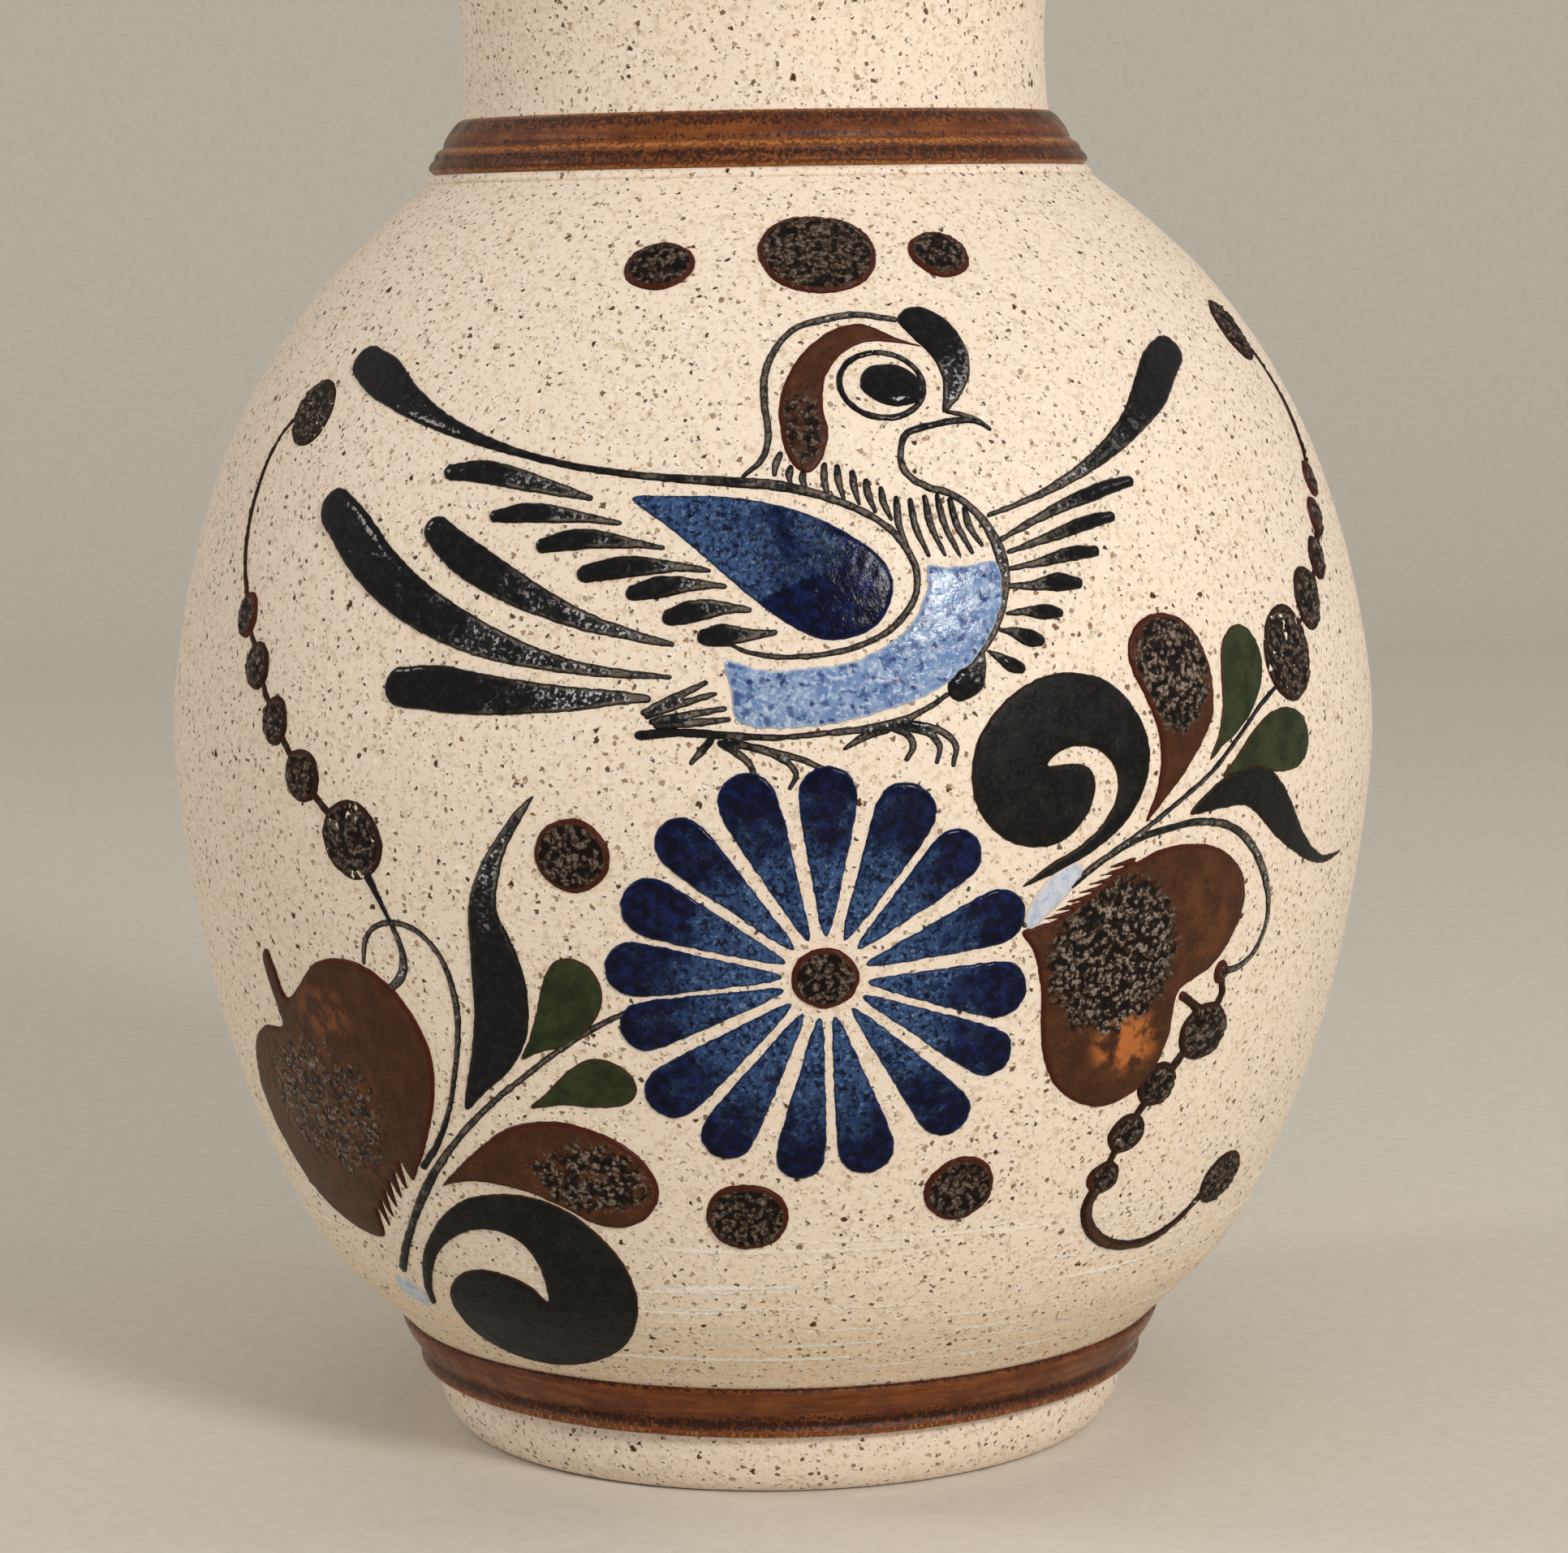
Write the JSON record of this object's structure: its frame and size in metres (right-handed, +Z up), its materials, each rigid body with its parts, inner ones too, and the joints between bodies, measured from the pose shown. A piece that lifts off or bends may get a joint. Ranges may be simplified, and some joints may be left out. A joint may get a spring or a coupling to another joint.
{
  "type": "painted stoneware vase",
  "caption": "Wheel-thrown stoneware vase with a round belly, flared neck, raised brown bands and relief painting of a bird, a daisy and tulip sprays.",
  "frame": {"origin": "centre of the foot on the surface it stands on", "axes": "+Z up along the vase's turning axis; the painted front faces -Y, and +X is to the right seen from the front"},
  "size_m": [0.14, 0.1406, 0.19],
  "materials": {
    "glaze": "semi-matt cream stoneware glaze with iron speckles",
    "iron_slip": "satin iron-brown slip over raised bands, dark in the groove",
    "black_enamel": "glossy black brushed enamel, grainy where the brush ran dry",
    "charcoal_enamel": "matt charcoal brushed enamel",
    "brown_oxide": "iron-oxide brown with a granular dark middle and a red-brown rim",
    "green_oxide": "matt olive green oxide with a thin brown rim",
    "navy_enamel": "glossy cobalt blue enamel, lighter and grainy where thin",
    "sky_enamel": "light cobalt wash with dark flecks",
    "pale_enamel": "pale blue-white enamel"
  },
  "bodies": {
    "root": {"foot_ring": "glaze", "belly": "glaze", "neck": "glaze", "base_band": "iron_slip", "neck_band": "iron_slip", "lip": "iron_slip", "bird_back_line": "black_enamel", "bird_breast_line": "black_enamel", "bird_crest": "black_enamel", "bird_eye_ring": "black_enamel", "bird_pupil": "black_enamel", "neck_hatching": "black_enamel", "wing_feathers": "black_enamel", "tail_feathers": "black_enamel", "tail_hatching": "black_enamel", "breast_feathers": "black_enamel", "bird_legs": "black_enamel", "left_dark_leaf": "black_enamel", "left_stems": "black_enamel", "right_stems": "black_enamel", "back_stem": "black_enamel", "left_scroll": "charcoal_enamel", "right_scroll": "charcoal_enamel", "right_dark_leaf": "charcoal_enamel", "top_dots": "brown_oxide", "field_spots": "brown_oxide", "bird_head_crescent": "brown_oxide", "daisy_centre": "brown_oxide", "left_tulip": "brown_oxide", "left_brown_leaf": "brown_oxide", "left_beads": "brown_oxide", "right_tulip": "brown_oxide", "right_brown_leaf": "brown_oxide", "right_beads": "brown_oxide", "back_daisy_centre": "brown_oxide", "back_brown_leaves": "brown_oxide", "back_beads": "brown_oxide", "left_green_leaves": "green_oxide", "right_green_leaves": "green_oxide", "back_green_leaves": "green_oxide", "bird_wing": "navy_enamel", "daisy_petals": "navy_enamel", "back_daisy": "navy_enamel", "bird_belly_patch": "sky_enamel", "left_pale_dab": "pale_enamel", "right_pale_dab": "pale_enamel"}
  },
  "joints": []
}
